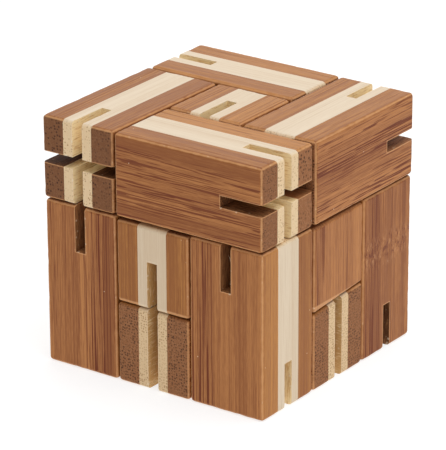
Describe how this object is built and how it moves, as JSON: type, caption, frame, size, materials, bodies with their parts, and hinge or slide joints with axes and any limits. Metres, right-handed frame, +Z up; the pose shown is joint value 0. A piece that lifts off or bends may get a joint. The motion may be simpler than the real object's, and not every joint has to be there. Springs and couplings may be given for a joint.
{
  "type": "wooden puzzle cube",
  "caption": "Cube puzzle of laminated bamboo blocks strung on elastic cords through saw kerfs; blocks pull apart and spring back.",
  "frame": {"origin": "bottom centre of the assembled cube, on the surface it stands on", "axes": "+Z up, -Y the front with the long beam at the top right, +X the right side"},
  "size_m": [0.0612, 0.0612, 0.0606],
  "materials": {
    "dark_bamboo": "caramelised bamboo strip, sanded and oiled to a low sheen",
    "light_bamboo": "natural bamboo strip, sanded and oiled to a low sheen",
    "elastic_cord": "round elastic with a woven textile cover"
  },
  "bodies": {
    "core_post": {"core_post_front_ply": "dark_bamboo", "core_post_core_ply": "light_bamboo", "core_post_back_ply": "dark_bamboo", "core_cord": "elastic_cord"},
    "right_front_post": {"right_front_post_front_ply": "dark_bamboo", "right_front_post_core_ply": "light_bamboo", "right_front_post_back_ply": "dark_bamboo", "front_cord": "elastic_cord"},
    "left_front_post": {"left_front_post_front_ply": "dark_bamboo", "left_front_post_core_ply": "light_bamboo", "left_front_post_back_ply": "dark_bamboo", "corner_cord": "elastic_cord"},
    "right_back_post": {"right_back_post_left_ply": "dark_bamboo", "right_back_post_core_ply": "light_bamboo", "right_back_post_right_ply": "dark_bamboo", "back_cord": "elastic_cord"},
    "left_back_post": {"left_back_post_front_ply": "dark_bamboo", "left_back_post_core_ply": "light_bamboo", "left_back_post_back_ply": "dark_bamboo", "left_cord": "elastic_cord"},
    "front_top_beam": {"front_top_beam_front_ply": "dark_bamboo", "front_top_beam_core_ply": "light_bamboo", "front_top_beam_back_ply": "dark_bamboo"},
    "left_top_beam": {"left_top_beam_left_ply": "dark_bamboo", "left_top_beam_core_ply": "light_bamboo", "left_top_beam_right_ply": "dark_bamboo"},
    "back_top_beam": {"back_top_beam_front_ply": "dark_bamboo", "back_top_beam_core_ply": "light_bamboo", "back_top_beam_back_ply": "dark_bamboo"},
    "right_top_beam": {"right_top_beam_left_ply": "dark_bamboo", "right_top_beam_core_ply": "light_bamboo", "right_top_beam_right_ply": "dark_bamboo"},
    "top_centre_cube": {"top_centre_cube_left_ply": "dark_bamboo", "top_centre_cube_core_ply": "light_bamboo", "top_centre_cube_right_ply": "dark_bamboo"},
    "front_foot_cube": {"front_foot_cube_left_ply": "dark_bamboo", "front_foot_cube_core_ply": "light_bamboo", "front_foot_cube_right_ply": "dark_bamboo"},
    "back_foot_cube": {"back_foot_cube_left_ply": "dark_bamboo", "back_foot_cube_core_ply": "light_bamboo", "back_foot_cube_right_ply": "dark_bamboo"},
    "left_foot_cube": {"left_foot_cube_front_ply": "dark_bamboo", "left_foot_cube_core_ply": "light_bamboo", "left_foot_cube_back_ply": "dark_bamboo"},
    "right_foot_cube": {"right_foot_cube_front_ply": "dark_bamboo", "right_foot_cube_core_ply": "light_bamboo", "right_foot_cube_back_ply": "dark_bamboo"},
    "front_upper_cube": {"front_upper_cube_left_ply": "dark_bamboo", "front_upper_cube_core_ply": "light_bamboo", "front_upper_cube_right_ply": "dark_bamboo"},
    "back_upper_cube": {"back_upper_cube_left_ply": "dark_bamboo", "back_upper_cube_core_ply": "light_bamboo", "back_upper_cube_right_ply": "dark_bamboo"},
    "left_upper_cube": {"left_upper_cube_front_ply": "dark_bamboo", "left_upper_cube_core_ply": "light_bamboo", "left_upper_cube_back_ply": "dark_bamboo"},
    "right_upper_cube": {"right_upper_cube_left_ply": "dark_bamboo", "right_upper_cube_core_ply": "light_bamboo", "right_upper_cube_right_ply": "dark_bamboo"}
  },
  "joints": [
    {"name": "front_string_pull", "type": "slide", "parent": "core_post", "child": "right_front_post", "axis": [0, -1, 0], "range_m": [0, 0.03]},
    {"name": "corner_string_pull", "type": "slide", "parent": "core_post", "child": "left_front_post", "axis": [-1, 0, 0], "range_m": [0, 0.03]},
    {"name": "back_string_pull", "type": "slide", "parent": "core_post", "child": "right_back_post", "axis": [0, 1, 0], "range_m": [0, 0.03]},
    {"name": "left_string_pull", "type": "slide", "parent": "core_post", "child": "left_back_post", "axis": [-1, 0, 0], "range_m": [0, 0.03]},
    {"name": "front_top_beam_lift", "type": "slide", "parent": "right_front_post", "child": "front_top_beam", "axis": [0, 0, 1], "range_m": [0, 0.02], "stiffness_N_per_m": 60, "springref_m": -0.02, "deforming": ["front_cord"]},
    {"name": "left_top_beam_lift", "type": "slide", "parent": "left_front_post", "child": "left_top_beam", "axis": [0, 0, 1], "range_m": [0, 0.02], "stiffness_N_per_m": 60, "springref_m": -0.02, "deforming": ["corner_cord"]},
    {"name": "back_top_beam_lift", "type": "slide", "parent": "left_back_post", "child": "back_top_beam", "axis": [0, 0, 1], "range_m": [0, 0.02], "stiffness_N_per_m": 60, "springref_m": -0.02, "deforming": ["left_cord"]},
    {"name": "right_top_beam_lift", "type": "slide", "parent": "right_back_post", "child": "right_top_beam", "axis": [0, 0, 1], "range_m": [0, 0.02], "stiffness_N_per_m": 60, "springref_m": -0.02, "deforming": ["back_cord"]},
    {"name": "top_centre_cube_lift", "type": "slide", "parent": "core_post", "child": "top_centre_cube", "axis": [0, 0, 1], "range_m": [0, 0.02], "stiffness_N_per_m": 60, "springref_m": -0.02, "deforming": ["core_cord"]},
    {"name": "front_foot_cube_pull", "type": "slide", "parent": "right_front_post", "child": "front_foot_cube", "axis": [0, -1, 0], "range_m": [0, 0.02], "stiffness_N_per_m": 60, "springref_m": -0.02, "deforming": ["front_cord"]},
    {"name": "back_foot_cube_pull", "type": "slide", "parent": "right_back_post", "child": "back_foot_cube", "axis": [0, 1, 0], "range_m": [0, 0.02], "stiffness_N_per_m": 60, "springref_m": -0.02, "deforming": ["back_cord"]},
    {"name": "left_foot_cube_pull", "type": "slide", "parent": "left_back_post", "child": "left_foot_cube", "axis": [-1, 0, 0], "range_m": [0, 0.02], "stiffness_N_per_m": 60, "springref_m": -0.02, "deforming": ["left_cord"]},
    {"name": "right_foot_cube_pull", "type": "slide", "parent": "core_post", "child": "right_foot_cube", "axis": [1, 0, 0], "range_m": [0, 0.02], "stiffness_N_per_m": 60, "springref_m": -0.02, "deforming": ["core_cord"]},
    {"name": "front_upper_cube_pull", "type": "slide", "parent": "front_foot_cube", "child": "front_upper_cube", "axis": [0, -1, 0], "range_m": [0, 0.02], "stiffness_N_per_m": 60, "springref_m": -0.02, "deforming": ["front_cord"]},
    {"name": "back_upper_cube_pull", "type": "slide", "parent": "back_foot_cube", "child": "back_upper_cube", "axis": [0, 1, 0], "range_m": [0, 0.02], "stiffness_N_per_m": 60, "springref_m": -0.02, "deforming": ["back_cord"]},
    {"name": "left_upper_cube_pull", "type": "slide", "parent": "left_foot_cube", "child": "left_upper_cube", "axis": [-1, 0, 0], "range_m": [0, 0.02], "stiffness_N_per_m": 60, "springref_m": -0.02, "deforming": ["left_cord"]},
    {"name": "right_upper_cube_pull", "type": "slide", "parent": "right_foot_cube", "child": "right_upper_cube", "axis": [1, 0, 0], "range_m": [0, 0.02], "stiffness_N_per_m": 60, "springref_m": -0.02, "deforming": ["core_cord"]}
  ]
}
